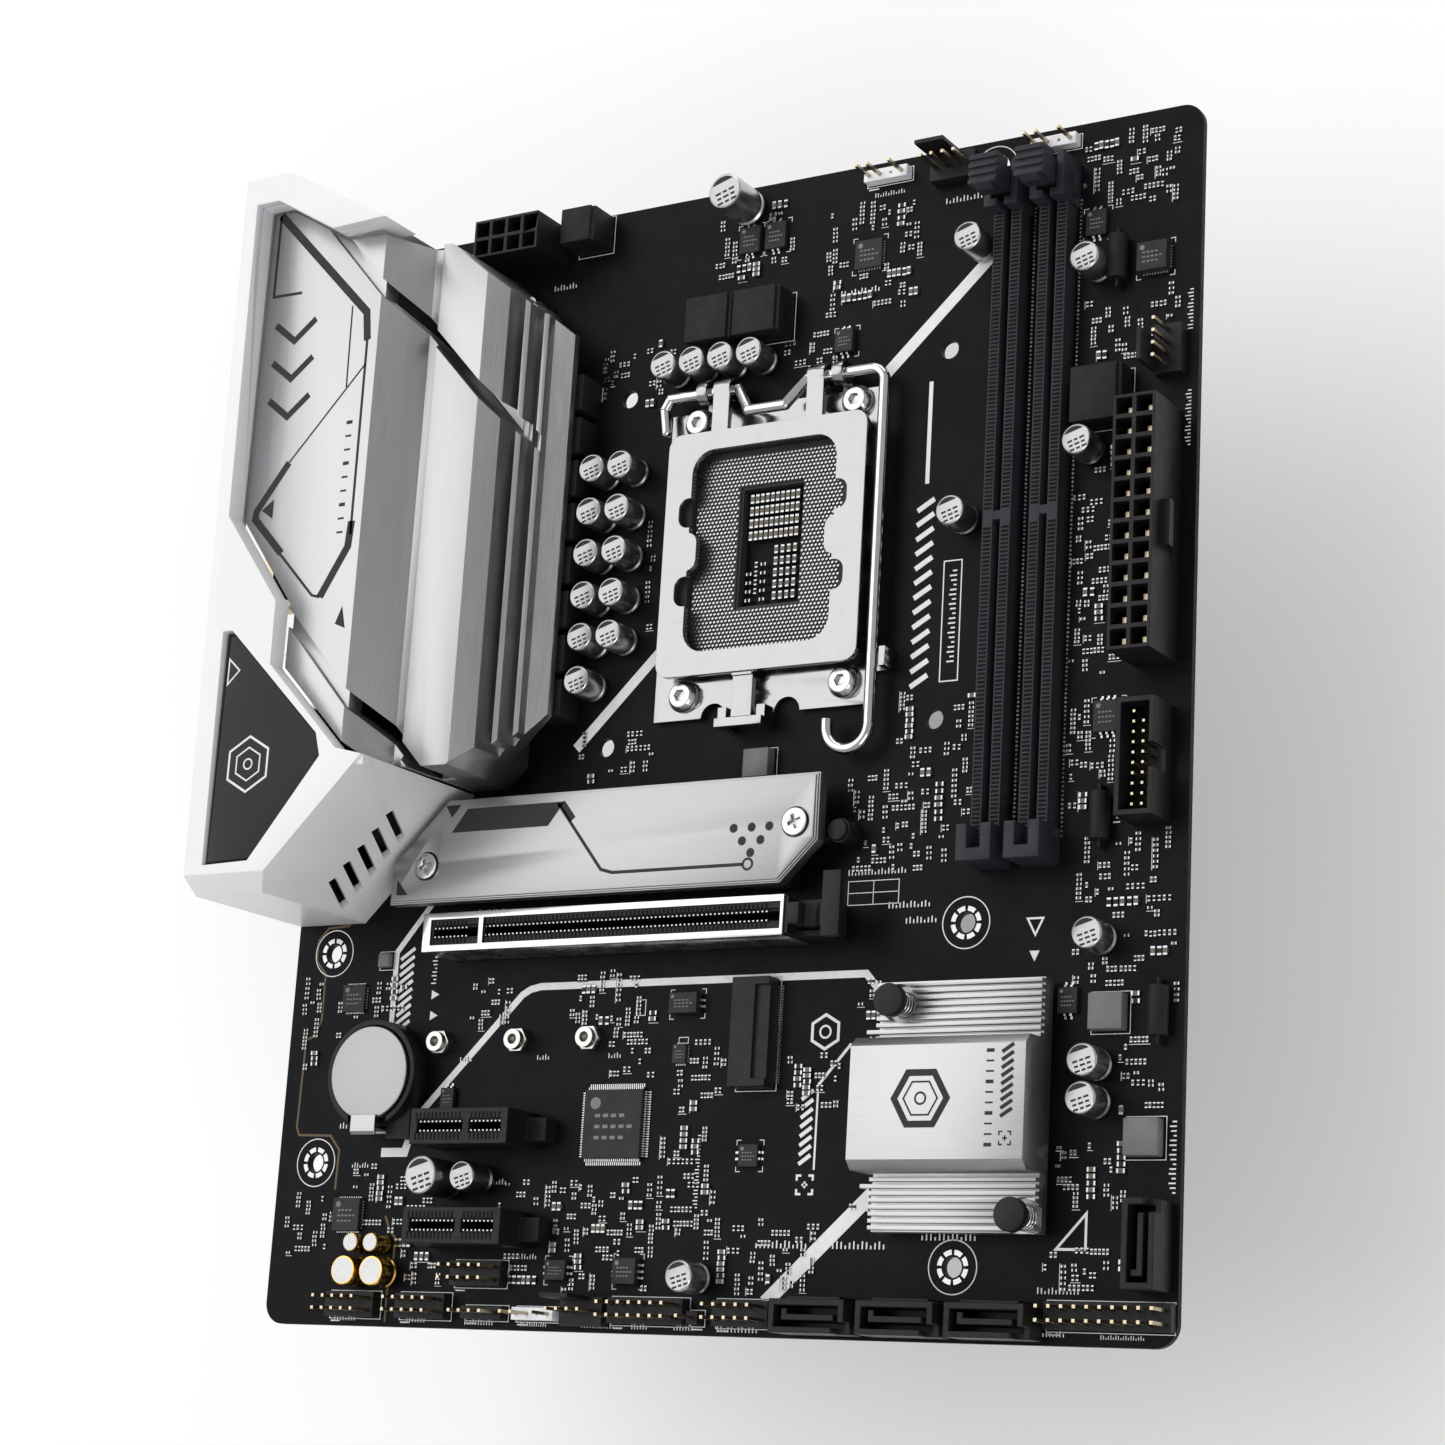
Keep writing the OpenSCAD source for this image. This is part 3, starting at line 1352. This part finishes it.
// [x, y, width, length, height]
chips = [
    [20.5, 23.2, 7, 7, 1.4], [17.2, 69.8, 6, 6, 0.9], [75.4, 12.2, 5, 4, 1.6], [92.3, 12.2, 5.4, 5.2, 1.9],
    [101.8, 55.8, 3.2, 4, 1.1], [119.2, 35.2, 4.4, 4.4, 0.9], [107, top - 12.4, 5, 6, 1.1],
    [113.4, top - 12.4, 5, 6, 1.1], [136.4, top - 20.4, 6.4, 6.4, 0.9], [131.8, 204.6, 4.2, 5, 1.5],
    [front - 22.4, 221.4, 4.4, 5.4, 1.1], [front - 17, 118.8, 5.4, 6.2, 1.3], [front - 9.6, 211.8, 6.4, 6, 2.3],
    [102.6, 66, 6.6, 4.2, 2.2], [44.6, 47.6, 3.4, 4.4, 1.2], [front - 23.4, 64, 4, 5, 1.1]
];

module small_chips() {
    color("#1d1e21") on_board() for (c = chips)
        block(c[0] - c[2] / 2, c[1] - c[3] / 2, 0, c[0] + c[2] / 2, c[1] + c[3] / 2, c[4]);
}

module drum_inductor(x, y, w, h) {
    translate([x - w / 2, y - w / 2, 0]) cube([w, w, h]);
}

module drum_inductors() {
    color("#77797d") on_board() {
        drum_inductor(front - 14.8, 61.5, 7, 3);
        drum_inductor(front - 7, 38, 7, 3);
        drum_inductor(117, 114.8, 6, 3);
        drum_inductor(25, 77.8, 3, 1.6);
    }
}

module axial(x, y) {
    r = 2;
    translate([x, y - 4.6, r]) rotate([-90, 0, 0]) cylinder(r = r, h = 9.2);
    for (i = [-1, 1]) {
        translate([x, y + i * 4.6 - (i > 0 ? 0 : 1.6), r]) rotate([-90, 0, 0]) cylinder(r = 0.4, h = 1.6);
        translate([x, y + i * 5.8, 0]) cylinder(r = 0.4, h = r);
    }
}

module axial_inductors() {
    color("#1a1b1d") on_board() {
        axial(front - 17, 212.6);
        axial(front - 17.4, 99);
        axial(front - 4.4, 61.3);
    }
}

circuit_board();
rear_cover();
cover_inset();
power_heatsink();
power_heatsink_screws();
power_pads();
power_transistors();
power_chokes();
upper_chokes();
memory_choke();
socket_backplate();
socket_body();
socket_contacts();
socket_frame();
socket_screws();
load_plate();
load_lever();
memory_slots();
memory_latch_inner();
memory_latch_outer();
long_slot();
long_slot_shell();
long_slot_latch();
short_slots();
m2_cover();
m2_cover_screws();
m2_pad();
m2_socket_covered();
m2_socket_open();
m2_posts();
chipset();
chipset_pad();
chipset_heatsink();
push_pins();
push_pin_springs();
cell_holder();
coin_cell();
cell_clip();
main_power_socket();
processor_power_socket();
power_pins();
data_sockets();
usb_header();
pin_headers();
fan_headers();
white_headers();
header_pins();
usb_ports();
network_port();
display_ports();
audio_ports();
antenna_jacks();
small_capacitors();
large_capacitors();
audio_capacitors();
control_chip();
small_chips();
drum_inductors();
axial_inductors();
guide_post();
